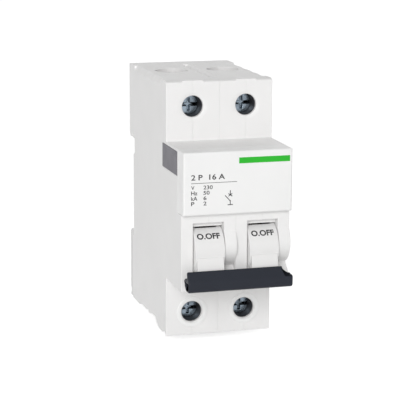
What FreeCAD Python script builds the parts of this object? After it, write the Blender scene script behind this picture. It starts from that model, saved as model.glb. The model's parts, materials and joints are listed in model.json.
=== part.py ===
import FreeCAD, Part
import math
import os

os.makedirs("parts", exist_ok=True)

# Two-pole miniature circuit breaker for a 35 mm rail. All sizes are in millimetres.
# X runs across the poles, Y runs into the rail (the front is at -Y) and Z is up.
# The origin is the middle of the seat on the rail.
V = FreeCAD.Vector

# Case, seen from the side
pole_pitch = 18.0
body_height = 85.0
back_depth = 5.5
shoulder_depth = 44.0
nose_depth = 65.0
cover_height = 20.3
label_bottom = 2.5
nose_drop = 22.5
cheek_depth = 62.6
cheek_bulge = 1.6
dip_depth = 3.2
side_wall = 1.8
edge_wall = 1.3
outer_skin = 0.8

# Underside steps, each as (distance back from the front face, rise above the lowest edge)
underside = [(0.6, 0.0), (1.6, 1.2), (5.4, 0.2), (10.0, 0.4), (12.7, 1.8), (14.0, 2.8),
             (18.1, 2.7), (22.9, 1.9), (23.6, 2.7), (26.4, 2.1), (32.7, 2.1), (36.0, 1.3)]
underside_back_rise = 1.3
top_lip_depth = 1.4
top_lip_drop = 0.6
top_tab_half = 3.5

# Sloped top edges of each pole, each as (width, drop), by turns shallow and deep
shallow_slope = (1.3, 1.7)
deep_slope = (1.55, 2.0)
slope_start = 2.0
slope_pitch = 9.0
slope_count = 4

# Standard rail that the back grips
rail_width = 35.0
rail_thickness = 1.0
rail_play = 0.3
upper_grip = 0.6
lower_grip = 1.1
hook_round = 1.2
pocket_height = 5.4
pocket_depth = 1.5
seat_relief = 0.3

# Sliding rail clip
clip_travel = 4.0
clip_side_gap = 0.3
clip_slide_gap = 0.2
clip_spring_length = 14.5
clip_spring_radius = 1.2
clip_spring_wire = 0.25
clip_spring_turns = 9
clip_pocket_half = 1.9
clip_pocket_depth = 3.3
button_half = 1.0
button_head_half = 1.8
button_height = 4.0
button_offset = 5.4
button_head_thickness = 1.2
pull_groove = 1.5

# Terminals, front to back along each screw
terminal_inset_top = 8.5
terminal_inset_bottom = 7.85
screw_recess = 5.5
screw_head_radius = 3.3
screw_head_height = 2.0
screw_hole_gap = 0.2
screw_shank_radius = 2.4
screw_thread_play = 0.05
screw_lead = 0.8
screw_turns = 9.5
cross_width = 0.9
cross_length = 4.2
cross_depth = 1.6
driver_slot_width = 1.0
countersink_radius = 5.2
countersink_depth = 0.4
strap_thickness = 1.2
cage_end_gap = 0.4
cage_front_wall = 2.4
cage_rear_wall = 2.0
cage_side_wall = 1.4
cage_half_height = 3.6
cage_side_gap = 1.0
plate_thickness = 1.8
small_gap = 0.2
touch_gap = 0.05
conductor_space = 10.6
entry_radius = 5.5
entry_collar_wall = 1.0
web_reach = 7.6
ledge_gap = 0.6
ledge_thickness = 1.2
chimney_wall = 1.7

# Magnetic trip
coil_y = -15.0
coil_mean_radius = 4.6
coil_wire_radius = 0.8
coil_half_turns = 11
bobbin_bottom = 5.0
bobbin_height = 16.2
bobbin_bore = 2.9
bobbin_tube_wall = 0.6
bobbin_flange = 0.9
bobbin_radius = 6.2
yoke_thickness = 1.4
yoke_half_width = 5.5
plunger_radius = 2.5
plunger_pin_radius = 0.9
plunger_travel = 2.2
core_height = 6.5
spring_seat_depth = 3.8
plunger_spring_wire = 0.25
plunger_spring_radius = 1.6

# Switching mechanism, as (y, z) centres at rest
toggle_radius = 8.0
toggle_centre_z = -10.0
toggle_half_width = 4.9
toggle_cheek = 1.4
toggle_shell = 1.6
shell_start = 109.0
shell_end = 320.0
paddle_inset = 0.5
window_gap = 0.2
window_top = -0.4
window_bottom = -19.8
handle_throw = 84.0
shaft_radius = 1.2
pin_play = 0.05
crank_reach = 3.1
crank_lean = 25.0
link_pin_radius = 0.8
link_half_width = 1.0
link_half_height = 0.8
link_eye = 1.5
contact_pivot = (-36.0, 1.0)
contact_swing = 29.4
lever_lean = 14.0
contact_pivot_radius = 1.0
contact_hub = 2.6
contact_reach = 21.0
contact_blade = 1.5
contact_closed_slope = 46.5
pad_length = 3.4
carrier_reach = 14.0
pad_thickness = 1.0
trip_pivot = (-28.0, 3.0)
trip_pivot_radius = 0.9
trip_hub = 2.2
trip_bar_radius = 1.0
bimetal_inset = 3.0
bimetal_thickness = 0.8
bimetal_width = 3.6
bimetal_height = 36.0
braid_radius = 0.7

# Arc chamber
plate_count = 7
plate_pitch = 1.7
arc_plate_thickness = 0.8
arc_back = -2.6
arc_length = 14.4
arc_notch = 5.0
fibre_thickness = 1.0
runner_thickness = 0.8
runner_inset = 6.5
runner_foot = 1.0
runner_half_width = 4.0
runner_rise = 1.8
runner_gap = 0.15

# Handle tie bar at rest, and rivets as (y, z)
bar_half_length = 17.3
bar_wall = 1.1
blade_end = 14.1
blade_end_slant = 0.9
blade_foot = 7.4
rivet_radius = 1.2
rivet_play = 0.05
rivet_boss = 1.2
rivet_places = [(-3.0, 33.0), (-5.0, -33.0), (-52.0, 14.0), (-35.5, -22.5)]

# Front cover and side plate
cover_wall = 1.8
cover_gap = 0.1
snap_half = 2.0
snap_thickness = 1.2
snap_reach = 3.0
side_plate_size = (18.1, 7.7)
side_plate_corner = (-57.5, 14.2)
side_plate_thickness = 0.4

# Places that follow from the sizes above
half_pole = pole_pitch / 2
inner_half = half_pole - side_wall
top = body_height / 2
bottom = -body_height / 2
front = -shoulder_depth
nose = -nose_depth
label_top = label_bottom + cover_height
cover_seat = nose + 6.6
upper_lip = rail_width / 2 - upper_grip
lower_lip = -(rail_width / 2 - lower_grip)
rail_gap = rail_thickness + rail_play
slot_end = rail_width / 2 + 0.7
clip_bed = rail_gap - clip_slide_gap
clip_bottom = bottom + 1.4
toggle_centre = (nose + toggle_radius, toggle_centre_z)
window_half = toggle_half_width + window_gap
poles = {"left": -half_pole, "right": half_pole}


def box(x0, x1, y0, y1, z0, z1):
    return Part.makeBox(x1 - x0, y1 - y0, z1 - z0, V(x0, y0, z0))


def rod(x0, x1, centre, radius):
    """A round bar along X, centred at (y, z)."""
    return Part.makeCylinder(radius, x1 - x0, V(x0, centre[0], centre[1]), V(1, 0, 0))


def prism(points, x0, x1):
    """A side outline given as (y, z) points, pushed from x0 to x1."""
    corners = [V(x0, y, z) for y, z in points]
    face = Part.Face(Part.makePolygon(corners + corners[:1]))
    return face.extrude(V(x1 - x0, 0, 0))


def fused(first, *others):
    return first.fuse(list(others)).removeSplitter()


def drilled(shape, *tools):
    return shape.cut(list(tools))


def save(name, *shapes):
    whole = shapes[0] if len(shapes) == 1 else Part.makeCompound(list(shapes))
    whole.exportStep("parts/" + name + ".step")
    print(name, len(whole.Solids), round(whole.Volume, 1), whole.isValid())


def turned(shape, centre, degrees):
    """A copy turned about the X direction through (y, z)."""
    copy = shape.copy()
    copy.rotate(V(0, centre[0], centre[1]), V(1, 0, 0), degrees)
    return copy


def polar(centre, reach, degrees):
    """The (y, z) point at this distance, with the angle counted from +Y towards +Z."""
    angle = math.radians(degrees)
    return (centre[0] + reach * math.cos(angle), centre[1] + reach * math.sin(angle))


def crank_at(part):
    """The crank pin at this part of the throw, from 0 at off to 1 at on."""
    return polar(toggle_centre, crank_reach, 90 - crank_lean + handle_throw * (0.5 - part))


def lever_at(part, reach):
    """The contact lever's pin at this part of the swing, for a lever of this length."""
    return polar(contact_pivot, reach, contact_swing * (part - 0.5) - 90 - lever_lean)


def slope(a, b):
    return math.degrees(math.atan2(b[1] - a[1], b[0] - a[0]))


def matched_lever_reach():
    """The lever length at which one link spans both pins at off and at on, by halving."""
    low, high = crank_reach, 4 * crank_reach
    for _ in range(50):
        reach = (low + high) / 2
        at_off = math.dist(crank_at(0), lever_at(0, reach))
        at_on = math.dist(crank_at(1), lever_at(1, reach))
        low, high = (reach, high) if at_off > at_on else (low, reach)
    return reach


lever_reach = matched_lever_reach()
crank_pin = crank_at(0)
lever_pin = lever_at(0, lever_reach)
link_length = math.dist(crank_pin, lever_pin)
link_slope = slope(crank_pin, lever_pin)
link_slope_on = slope(crank_at(1), lever_at(1, lever_reach))


def pin_drift():
    """How far the lever pin strays from the link's far eye, along and aside, over the throw."""
    drift = []
    for i in range(11):
        part = i / 10
        start, pin = crank_at(part), lever_at(part, lever_reach)
        angle = math.radians(link_slope + (link_slope_on - link_slope) * part)
        y, z = pin[0] - start[0], pin[1] - start[1]
        drift.append((y * math.cos(angle) + z * math.sin(angle) - link_length,
                      z * math.cos(angle) - y * math.sin(angle)))
    return drift


# Terminal planes along Y, from the front face back
head_front = front + screw_recess
head_back = head_front + screw_head_height
strap_back = head_back + strap_thickness
cage_travel = screw_lead * screw_turns
cage_front = strap_back + cage_end_gap + cage_travel
cage_inner_front = cage_front + cage_front_wall
plate_front = cage_inner_front + small_gap
plate_back = plate_front + plate_thickness
cage_inner_rear = plate_back + conductor_space
cage_rear = cage_inner_rear + cage_rear_wall
entry_y = (plate_back + cage_inner_rear) / 2
cage_half = inner_half - cage_side_gap
cage_inner_half = cage_half - cage_side_wall
strap_half = cage_inner_half - small_gap
screw_hole_radius = screw_head_radius + screw_hole_gap
line_z = top - terminal_inset_top
load_z = bottom + terminal_inset_bottom
bimetal_y = front + bimetal_inset
runner_floor = load_z + web_reach + ledge_gap + ledge_thickness + 2 * touch_gap
arc_top = (runner_floor + runner_thickness + runner_gap + (plate_count - 1) * plate_pitch
           + arc_plate_thickness)


def chin_outline():
    """The front below a bulged cheek, up to the dip that the tie bar swings past."""
    dip = (-cheek_depth + dip_depth, toggle_centre_z - 5.2)
    return [(front, -nose_drop), (-cheek_depth, -nose_drop),
            (-cheek_depth, toggle_centre_z - toggle_radius), dip]


def case_face(bulged):
    """The case's side outline. The cheek right of a toggle bulges, the one left of it is flat."""
    corner = [(back_depth, top), (back_depth, upper_lip + hook_round),
              (back_depth - hook_round, upper_lip), (rail_gap, upper_lip), (rail_gap, slot_end),
              (0, slot_end), (0, upper_lip - small_gap), (-pocket_depth, upper_lip - small_gap),
              (-pocket_depth, upper_lip - pocket_height), (0, upper_lip - pocket_height),
              (0, lower_lip + small_gap), (-seat_relief, lower_lip + small_gap),
              (-seat_relief, -slot_end), (clip_bed, -slot_end),
              (clip_bed, bottom + underside_back_rise)]
    steps = [(front + back, bottom + rise) for back, rise in reversed(underside)]
    chin = [(front, bottom)] + chin_outline()[:4 if bulged else 2]
    brow = (-cheek_depth, toggle_centre_z + 6.5)
    rest = [brow, (-cheek_depth, label_bottom - cover_gap), (cover_seat, label_bottom - cover_gap),
            (cover_seat, label_top), (front, label_top), (front, top), (back_depth, top)]
    lower = [V(0, y, z) for y, z in corner + steps + chin]
    upper = [V(0, y, z) for y, z in rest]
    edges = [Part.LineSegment(a, b).toShape() for a, b in zip(lower, lower[1:])]
    bulge = V(0, -cheek_depth - cheek_bulge, toggle_centre_z + 1.5)
    if bulged:
        edges.append(Part.Arc(lower[-1], bulge, upper[0]).toShape())
    else:
        edges.append(Part.LineSegment(lower[-1], upper[0]).toShape())
    edges += [Part.LineSegment(a, b).toShape() for a, b in zip(upper, upper[1:])]
    return Part.Face(Part.Wire(edges))


def hollow_face():
    """The side outline of the room inside, one wall in from the case's outline."""
    wall = edge_wall
    pocket = -pocket_depth - wall
    label_low = label_bottom - cover_gap - wall
    points = [(back_depth - wall, top - wall), (back_depth - wall, slot_end + wall),
              (pocket, slot_end + wall), (pocket, upper_lip - pocket_height - wall),
              (-seat_relief - wall, upper_lip - pocket_height - wall),
              (-seat_relief - wall, -slot_end - wall), (clip_bed - wall, -slot_end - wall),
              (clip_bed - wall, bottom + underside_back_rise + wall)]
    points += [(front + back, bottom + rise + wall) for back, rise in reversed(underside) if back > wall]
    points.append((front + wall, points[-1][1]))
    _, (chin_y, chin_z), (_, throat_z), (dip_y, dip_z) = chin_outline()
    points += [(front + wall, chin_z + wall), (chin_y + wall, chin_z + wall), (chin_y + wall, throat_z),
               (dip_y + wall, dip_z), (-cheek_depth + wall, toggle_centre_z + 6.5),
               (-cheek_depth + wall, label_low), (cover_seat + wall, label_low),
               (cover_seat + wall, label_top - wall), (front + wall, label_top - wall),
               (front + wall, top - wall)]
    corners = [V(0, y, z) for y, z in points]
    return Part.Face(Part.makePolygon(corners + corners[:1]))


def slab(face, x0, x1):
    """A side outline face, pushed from x0 to x1."""
    moved = face.copy()
    moved.translate(V(x0, 0, 0))
    return moved.extrude(V(x1 - x0, 0, 0))


def chimney(z):
    """The sleeve round a terminal screw's head, before its bore is cut."""
    reach = screw_hole_radius + chimney_wall
    return box(0, inner_half, front, head_back - cage_end_gap, z - reach, z + reach)


def screw_bore(z):
    sink = Part.makeCone(countersink_radius, screw_hole_radius, countersink_depth,
                         V(0, front, z), V(0, 1, 0))
    bore = Part.makeCylinder(screw_hole_radius, screw_recess + screw_head_height,
                             V(0, front, z), V(0, 1, 0))
    return bore, sink


def entry_collar(z_out, z_in):
    low, high = min(z_out, z_in), max(z_out, z_in)
    collar = Part.makeCylinder(entry_radius + entry_collar_wall, high - low, V(0, entry_y, low))
    return collar.common(box(0, half_pole, entry_y - 10, entry_y + 10, low, high))


def entry_bore(z_out, z_in):
    low, high = min(z_out, z_in) - 1, max(z_out, z_in) + 1
    return Part.makeCylinder(entry_radius, high - low, V(0, entry_y, low))


hood_y = -cheek_depth + 2.2


def shell_ribs(within):
    """What stands inside a half shell: partitions, screw sleeves, rivet bosses and cheeks."""
    web_top = line_z - web_reach
    web_low = load_z + web_reach
    upper = (web_top - ledge_gap - ledge_thickness, web_top - ledge_gap)
    lower = (web_low + ledge_gap, web_low + ledge_gap + ledge_thickness)
    ribs = [box(0, inner_half, front, plate_front - 3, *upper),
            box(0, inner_half, -8.0, back_depth, *upper),
            box(0, inner_half, -28.0, clip_bed, *lower),
            box(0, inner_half, bimetal_y + 1.5, -33.0, *lower),
            box(window_half, inner_half, nose, toggle_centre[0] + toggle_radius,
                -nose_drop, label_bottom),
            box(0, window_half, hood_y, toggle_centre[0] + toggle_radius - 2.0,
                toggle_centre_z + toggle_radius + 0.4, label_bottom),
            chimney(line_z), chimney(load_z),
            entry_collar(top, line_z + cage_half_height + 0.9)]
    ribs += [rod(0, inner_half, place, rivet_radius + rivet_boss) for place in rivet_places]
    return [rib.common(within) for rib in ribs]


def clip_button(x):
    """The headed stud on the back of a half shell that holds the rail clip."""
    z_low = clip_bottom + 7.1
    neck = box(x - button_half, x + button_half, clip_bed, clip_bed + button_height,
               z_low, z_low + button_height)
    head = box(x - button_head_half, x + button_head_half,
               clip_bed + button_height - button_head_thickness, clip_bed + button_height,
               z_low, z_low + button_height)
    return neck, head


def spring_ledge():
    return box(0, clip_pocket_half - small_gap, clip_bed - 0.1, clip_bed + clip_pocket_depth - 0.4,
               clip_bottom + 0.7, clip_bottom + 2.6)


def edge_cut(width, drop, y0, y1):
    """The corner taken off the top's outer edge, from y0 to y1."""
    corners = [(half_pole + 1, top + 1), (half_pole - width, top + 1), (half_pole - width, top),
               (half_pole, top - drop), (half_pole + 1, top - drop)]
    points = [V(x, y0, z) for x, z in corners]
    return Part.Face(Part.makePolygon(points + points[:1])).extrude(V(0, y1 - y0, 0))


def half_shell(outer, bulged):
    """The half of a pole's case at +X. An outer one has a closed side, an inner one meets a pole."""
    within = slab(case_face(bulged), 0, half_pole)
    body = within.cut(slab(hollow_face(), -1, inner_half))
    body = body.fuse(shell_ribs(within) + list(clip_button(button_offset)) + [spring_ledge()])
    cuts = [*screw_bore(line_z), *screw_bore(load_z),
            entry_bore(top, line_z + cage_half_height), entry_bore(bottom, load_z - cage_half_height),
            box(-1, window_half, nose - 5, cover_seat + 4, window_bottom,
                toggle_centre_z + toggle_radius + 0.4),
            box(-1, window_half, nose - 5, hood_y, window_bottom, window_top)]
    for z in snap_heights():
        cuts.append(box(-1, snap_half + small_gap, cover_seat - 1, cover_seat + 2,
                        z - small_gap, z + snap_thickness + small_gap))
    depth = half_pole - outer_skin if outer else half_pole + 1
    cuts += [rod(-1, depth, place, rivet_radius + rivet_play) for place in rivet_places]
    cuts.append(rod(-1, depth, toggle_centre, shaft_radius + pin_play))
    cuts.append(rod(-1, half_pole - outer_skin, contact_pivot, contact_pivot_radius + pin_play))
    cuts.append(rod(-1, half_pole - outer_skin, trip_pivot, trip_pivot_radius + pin_play))
    lip = [(front + top_lip_depth, top + 1), (front - 1, top + 1), (front - 1, top - top_lip_drop),
           (front, top - top_lip_drop), (front + top_lip_depth, top)]
    cuts.append(prism(lip, top_tab_half, half_pole + 1))
    for i in range(slope_count):
        rear = -slope_start - i * slope_pitch
        cuts.append(edge_cut(*shallow_slope, rear - slope_pitch / 2, rear))
        cuts.append(edge_cut(*deep_slope, rear - slope_pitch, rear - slope_pitch / 2))
    if not outer:
        cuts.append(rod(inner_half - 1, half_pole + 1, trip_bar_centre(), trip_bar_radius + 0.9))
    return body.cut(cuts).removeSplitter()


def snap_heights():
    """The lower edges of the front cover's tabs."""
    return (label_top - 2.0 - snap_thickness, label_bottom + 2.0)


def trip_bar_centre():
    return (trip_pivot[0] - 3.0, trip_pivot[1] + 1.3)


def side_plate(gap):
    y, z = side_plate_corner
    length, height = side_plate_size
    left = -2 * half_pole
    return box(left - 1, left + side_plate_thickness + gap, y - gap, y + length + gap,
               z - gap, z + height + gap)


def make_case():
    for name, x in poles.items():
        is_left = name == "left"
        base = half_shell(is_left, False).mirror(V(0, 0, 0), V(1, 0, 0))
        base.translate(V(x, 0, 0))
        cover = half_shell(not is_left, True)
        cover.translate(V(x, 0, 0))
        if is_left:
            base = base.cut(side_plate(touch_gap))
        save(name + "_case_base", base)
        save(name + "_case_cover", cover)
    whole = -2 * half_pole
    plate = side_plate(0).common(box(whole, 0, nose, 0, 0, top))
    save("side_plate", plate)


def make_front_cover():
    """The snap-on cover over the nose of both poles, with tabs at each pole's seam."""
    half = 2 * half_pole
    skin = box(-half, half, nose, cover_seat - cover_gap, label_bottom, label_top)
    upright = [e for e in skin.Edges if abs(e.Vertexes[0].Point.y - nose) < 0.01
               and abs(e.Vertexes[1].Point.y - nose) < 0.01]
    skin = skin.makeFillet(0.7, upright)
    inside = box(-half + cover_wall, half - cover_wall, nose + cover_wall, cover_seat,
                 label_bottom + cover_wall, label_top - cover_wall)
    tabs = []
    for x in poles.values():
        for z in snap_heights():
            tabs.append(box(x - snap_half, x + snap_half, nose + 1.0, cover_seat + snap_reach,
                            z, z + snap_thickness))
    save("front_cover", skin.cut(inside).fuse(tabs).removeSplitter())


def make_terminals(x, prefix):
    """Both terminals of a pole: screw, cage clamp and U-shaped strap."""
    for end, z, inward in (("line", line_z, -1), ("load", load_z, 1)):
        place_terminal(x, prefix + "_" + end, z, inward)


def place_terminal(x, name, z, inward):
    head = Part.makeCylinder(screw_head_radius, screw_head_height, V(x, head_front, z), V(0, 1, 0))
    shank = Part.makeCylinder(screw_shank_radius, cage_inner_front - small_gap - head_back,
                              V(x, head_back, z), V(0, 1, 0))
    long, wide = cross_length / 2, cross_width / 2
    deep = head_front + cross_depth
    across = box(x - long, x + long, head_front - 1, deep, z - wide, z + wide)
    upright = box(x - wide, x + wide, head_front - 1, deep, z - long, z + long)
    slot = box(x - screw_head_radius, x + screw_head_radius, head_front - 1,
               head_front + driver_slot_width, z - driver_slot_width / 2,
               z + driver_slot_width / 2)
    save(name + "_screw", drilled(fused(head, shank), across, upright, slot))
    cage = box(x - cage_half, x + cage_half, cage_front, cage_rear,
               z - cage_half_height, z + cage_half_height)
    room = box(x - cage_inner_half, x + cage_inner_half, cage_inner_front, cage_inner_rear,
               z - cage_half_height - 1, z + cage_half_height + 1)
    thread = Part.makeCylinder(screw_shank_radius + screw_thread_play, cage_front_wall + 2,
                               V(x, cage_front - 1, z), V(0, 1, 0))
    save(name + "_clamp", drilled(cage, room, thread))
    save(name + "_busbar", busbar(x, z, inward))


def across_z(x0, x1, y0, y1, za, zb):
    return box(x0, x1, y0, y1, min(za, zb), max(za, zb))


def busbar(x, z, inward):
    """Front strap under the screw head, web on the inner side and plate inside the cage."""
    far = z + inward * web_reach
    near = far - inward * strap_thickness
    strap_half_wide = min(strap_half, inner_half - small_gap)
    strap = across_z(x - strap_half_wide, x + strap_half_wide, head_back, strap_back,
                     far, z - inward * cage_half_height)
    web = across_z(x - strap_half_wide, x + strap_half_wide, head_back, plate_back, far, near)
    plate = across_z(x - strap_half_wide, x + strap_half_wide, plate_front, plate_back,
                     far, z - inward * (cage_half_height + 0.3))
    hole = Part.makeCylinder(screw_shank_radius + small_gap, strap_thickness + 2,
                             V(x, head_back - 1, z), V(0, 1, 0))
    whole = fused(strap, web, plate)
    if inward > 0:
        left = x + bimetal_left()
        tongue = across_z(left, left + bimetal_width, bimetal_y - bimetal_thickness / 2 - 0.2,
                          head_back, far, near)
        joint = across_z(x, left + bimetal_width, head_back, strap_back + 2, far, near)
        whole = fused(whole, tongue, joint)
    return drilled(whole, hole)


def bimetal_left():
    return inner_half - 0.4 - bimetal_width


def arc_from(start, heading, end):
    """The arc from start to end that leaves start along heading, and its heading at the end."""
    chord = end - start
    along = V(chord).normalize()
    half = math.acos(max(-1, min(1, heading.dot(along))))
    if half < 1e-6:
        return Part.LineSegment(start, end).toShape(), heading
    side = (heading - along * heading.dot(along)).normalize()
    middle = start + chord * 0.5 + side * (chord.Length / 2 * math.tan(half / 2))
    leaving = along * (2 * heading.dot(along)) - heading
    return Part.Arc(start, middle, end).toShape(), leaving


def biarc(start, start_heading, end, end_heading):
    """Two arcs that join two points and keep both headings."""
    gap = end - start
    both = start_heading + end_heading
    spread = 2 * (1 - start_heading.dot(end_heading))
    reach = (-gap.dot(both) + math.sqrt(gap.dot(both) ** 2 + spread * gap.dot(gap))) / spread
    middle = (start + end + (start_heading - end_heading) * reach) * 0.5
    first, heading = arc_from(start, start_heading, middle)
    second, _ = arc_from(middle, heading, end)
    return [first, second]


def winding(centre, mean_radius, height, half_turns, first_angle):
    """Edges of a rising coil about Z, by half turns, with its end points and headings."""
    rise = height / half_turns
    places = []
    for i in range(half_turns + 1):
        angle = math.radians(first_angle) + math.pi * i
        place = centre + V(mean_radius * math.cos(angle), mean_radius * math.sin(angle), rise * i)
        slope = rise / (math.pi * mean_radius)
        heading = V(-math.sin(angle), math.cos(angle), slope).normalize()
        places.append((place, heading))
    edges = []
    for (a, heading_a), (b, heading_b) in zip(places, places[1:]):
        edges += biarc(a, heading_a, b, heading_b)
    return edges, places[0], places[-1]


def wire_tube(edges, start, heading, radius):
    ring = Part.Wire(Part.makeCircle(radius, start, heading))
    return Part.Wire(edges).makePipeShell([ring], True, False)


def corner_arc(before, corner, after, radius):
    """The two ends and the middle of the arc that rounds a right-angled corner."""
    back = (before - corner).normalize()
    on = (after - corner).normalize()
    half = math.acos(max(-1, min(1, back.dot(on)))) / 2
    start = corner + back * (radius / math.tan(half))
    end = corner + on * (radius / math.tan(half))
    bisector = (back + on).normalize()
    centre = corner + bisector * (radius / math.sin(half))
    middle = centre - bisector * radius
    return start, middle, end


def rounded_path(points, radius):
    """Straight runs between the points, joined by arcs."""
    edges = []
    last = points[0]
    for before, corner, after in zip(points, points[1:], points[2:]):
        start, middle, end = corner_arc(before, corner, after, radius)
        edges.append(Part.LineSegment(last, start).toShape())
        edges.append(Part.Arc(start, middle, end).toShape())
        last = end
    edges.append(Part.LineSegment(last, points[-1]).toShape())
    return edges


def spring(centre, mean_radius, wire, height, half_turns):
    edges, (start, heading), _ = winding(centre + V(0, 0, wire), mean_radius, height - 2 * wire,
                                         half_turns, 0)
    print("spring gap", round(2 * (height - 2 * wire) / half_turns - 2 * wire, 2))
    return wire_tube(edges, start, heading, wire)


def make_magnet(x, prefix):
    low = bobbin_bottom
    high = low + bobbin_height
    axis = V(x, coil_y, 0)
    tube = Part.makeCylinder(bobbin_bore + bobbin_tube_wall, bobbin_height, axis + V(0, 0, low))
    lower = Part.makeCylinder(bobbin_radius, bobbin_flange, axis + V(0, 0, low))
    upper = Part.makeCylinder(bobbin_radius, bobbin_flange, axis + V(0, 0, high - bobbin_flange))
    bore = Part.makeCylinder(bobbin_bore, bobbin_height + 2, axis + V(0, 0, low - 1))
    save(prefix + "_coil_bobbin", drilled(fused(tube, lower, upper), bore))
    save(prefix + "_coil", coil(axis, low, high))
    save(prefix + "_magnet_yoke", yoke(axis, low, high))
    save(prefix + "_plunger", plunger(axis, high))
    seat = low + core_height - spring_seat_depth
    coiled = spring(axis + V(0, 0, seat + touch_gap), plunger_spring_radius, plunger_spring_wire,
                    plunger_bottom(high) - seat - 2 * touch_gap, 10)
    save(prefix + "_plunger_spring", coiled)


def coil(axis, low, high):
    """The winding, with one lead up to the line strap and one down to the fixed contact."""
    margin = bobbin_flange + 0.3 + coil_wire_radius
    height = high - low - 2 * margin
    edges, (start, _), (end, _) = winding(axis + V(0, 0, low + margin), coil_mean_radius, height,
                                          coil_half_turns, 0)
    pitch = 2 * height / coil_half_turns
    print("coil gap", round(pitch - 2 * coil_wire_radius, 2))
    bend = 2 * coil_wire_radius
    foot = V(start.x, lead_y(), contact_tab_top())
    head = V(end.x, plate_back - 1.8, line_z - web_reach - small_gap)
    lead_in = rounded_path([foot, V(foot.x, foot.y, start.z), start], bend)
    lead_out = rounded_path([end, V(end.x, head.y, end.z), head], bend)
    lead = wire_tube(lead_in + edges + lead_out, foot, V(0, 0, 1), coil_wire_radius)
    return lead


def lead_y():
    return coil_y - coil_mean_radius - 3.0


def yoke(axis, low, high):
    """A C of steel round the bobbin, open to the front."""
    back = axis.y + bobbin_radius + 0.4
    reach = axis.y - bobbin_radius + 0.7
    x0, x1 = axis.x - yoke_half_width, axis.x + yoke_half_width
    under = low - 0.3 - yoke_thickness
    over = high + 0.3 + yoke_thickness
    spine = box(x0, x1, back, back + yoke_thickness, under, over)
    floor = box(x0, x1, reach, back + yoke_thickness, under, low - 0.3)
    roof = box(x0, x1, reach, back + yoke_thickness, high + 0.3, over)
    pin_hole = Part.makeCylinder(plunger_pin_radius + 0.5, 4, V(axis.x, axis.y, under - 1))
    roof_hole = Part.makeCylinder(plunger_radius + 0.4, 4, V(axis.x, axis.y, high - 1))
    return drilled(fused(spine, floor, roof), pin_hole, roof_hole)


def plunger_bottom(high):
    return bobbin_bottom + core_height + plunger_travel + 0.6


def plunger(axis, high):
    slug = Part.makeCylinder(plunger_radius, high + 0.8 - plunger_bottom(high),
                             axis + V(0, 0, plunger_bottom(high)))
    tip = trip_arm_top() + 0.2
    pin = Part.makeCylinder(plunger_pin_radius, plunger_bottom(high) - tip, axis + V(0, 0, tip))
    return fused(slug, pin)


def make_cores():
    cores = []
    for x in poles.values():
        low = V(x, coil_y, bobbin_bottom - 0.25)
        slug = Part.makeCylinder(bobbin_bore - small_gap, core_height + 0.25, low)
        pin_hole = Part.makeCylinder(plunger_pin_radius + 0.3, core_height + 2, low - V(0, 0, 1))
        seat = Part.makeCylinder(plunger_spring_radius + 0.5, spring_seat_depth + 1,
                                 V(x, coil_y, bobbin_bottom + core_height - spring_seat_depth))
        cores.append(drilled(slug, pin_hole, seat))
    save("magnet_cores", *cores)


def in_closed_frame(reach, aside):
    """A (y, z) point by its distance along the closed contact blade and aside from it."""
    along = polar((0, 0), reach, -contact_closed_slope)
    across = polar((0, 0), aside, 90 - contact_closed_slope)
    return (contact_pivot[0] + along[0] + across[0], contact_pivot[1] + along[1] + across[1])


def make_contact_arm(x, prefix):
    """Hub, forked lever and blade with its tip. It is drawn closed and then opened."""
    pad_out = contact_blade + pad_thickness
    blade = prism([in_closed_frame(0, -contact_blade), in_closed_frame(contact_reach, -contact_blade),
                   in_closed_frame(contact_reach, pad_out),
                   in_closed_frame(contact_reach - pad_length, pad_out),
                   in_closed_frame(contact_reach - pad_length, contact_blade),
                   in_closed_frame(0, contact_blade)], x - contact_blade, x + contact_blade)
    hub = rod(x - 2.5, x + 2.5, contact_pivot, contact_hub)
    opened = turned(fused(blade, hub), contact_pivot, -contact_swing)
    fork = []
    for x0, x1 in ((x - 2.5, x - 1.3), (x + 1.3, x + 2.5)):
        fork.append(lever(x0, x1, contact_pivot, lever_pin, 1.6))
    pin = rod(x - 2.5, x + 2.5, lever_pin, link_pin_radius)
    whole = opened.fuse(fork + [pin]).removeSplitter()
    save(prefix + "_contact_arm",
         drilled(whole, rod(x - 3, x + 3, contact_pivot, contact_pivot_radius + pin_play)))


def lever(x0, x1, a, b, half):
    """A flat lever with round ends about two (y, z) points."""
    length = math.dist(a, b)
    across = ((b[1] - a[1]) / length * half, -(b[0] - a[0]) / length * half)
    corners = [(a[0] + across[0], a[1] + across[1]), (b[0] + across[0], b[1] + across[1]),
               (b[0] - across[0], b[1] - across[1]), (a[0] - across[0], a[1] - across[1])]
    return prism(corners, x0, x1).fuse([rod(x0, x1, a, half), rod(x0, x1, b, half)])


def make_fixed_contacts():
    pads = []
    face = contact_blade + pad_thickness + touch_gap
    for x in poles.values():
        pads.append(prism([in_closed_frame(contact_reach, face),
                           in_closed_frame(contact_reach, face + pad_thickness),
                           in_closed_frame(contact_reach - pad_length, face + pad_thickness),
                           in_closed_frame(contact_reach - pad_length, face)], x - 2, x + 2))
    save("fixed_contacts", *pads)


def carrier_start():
    return in_closed_frame(carrier_reach, contact_blade + 2 * pad_thickness + touch_gap + 1.5)


def contact_tab_top():
    return carrier_start()[1] + 0.8


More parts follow.
